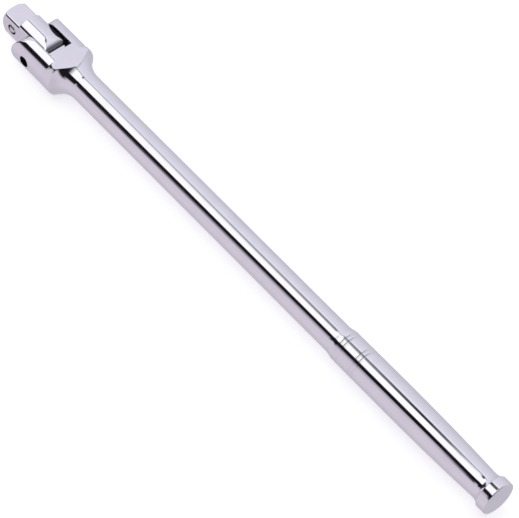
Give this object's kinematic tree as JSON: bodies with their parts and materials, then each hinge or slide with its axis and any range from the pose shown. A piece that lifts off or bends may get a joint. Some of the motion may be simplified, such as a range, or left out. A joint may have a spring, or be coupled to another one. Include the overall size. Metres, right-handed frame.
{
  "type": "breaker bar",
  "caption": "Flex-head breaker bar: long round chromed handle whose forked yoke pins a swivelling square drive head with a spring detent ball.",
  "frame": {"origin": "centre of the square drive's end face, with the head in line with the bar", "axes": "+X along the bar from the drive towards the handle's end, Y along the pivot pin with the detent ball on the -Y flat, +Z square to the yoke's flats"},
  "size_m": [0.356, 0.029, 0.02],
  "materials": {
    "chrome_plate": "bright chrome plate over turned and forged chrome-vanadium steel",
    "pin_steel": "dark hardened steel pin, turned ends",
    "ball_steel": "polished bearing steel",
    "spring_steel": "oiled drawn spring wire"
  },
  "bodies": {
    "bar": {"bar_body": "chrome_plate", "pivot_pin": "pin_steel", "friction_ball": "ball_steel", "friction_spring": "spring_steel"},
    "head": {"swivel_head": "chrome_plate", "drive_ball_spring": "spring_steel"},
    "ball": {"drive_ball": "ball_steel"}
  },
  "joints": [
    {"name": "head_flex", "type": "hinge", "parent": "bar", "child": "head", "pos_m": [0.0268, 0, 0], "axis": [0, 1, 0], "range_deg": [-90, 90]},
    {"name": "ball_press", "type": "slide", "parent": "head", "child": "ball", "axis": [0, 1, 0], "range_m": [0, 0.0008], "stiffness_N_per_m": 2000, "springref_m": -0.001, "deforming": ["drive_ball_spring"]}
  ]
}
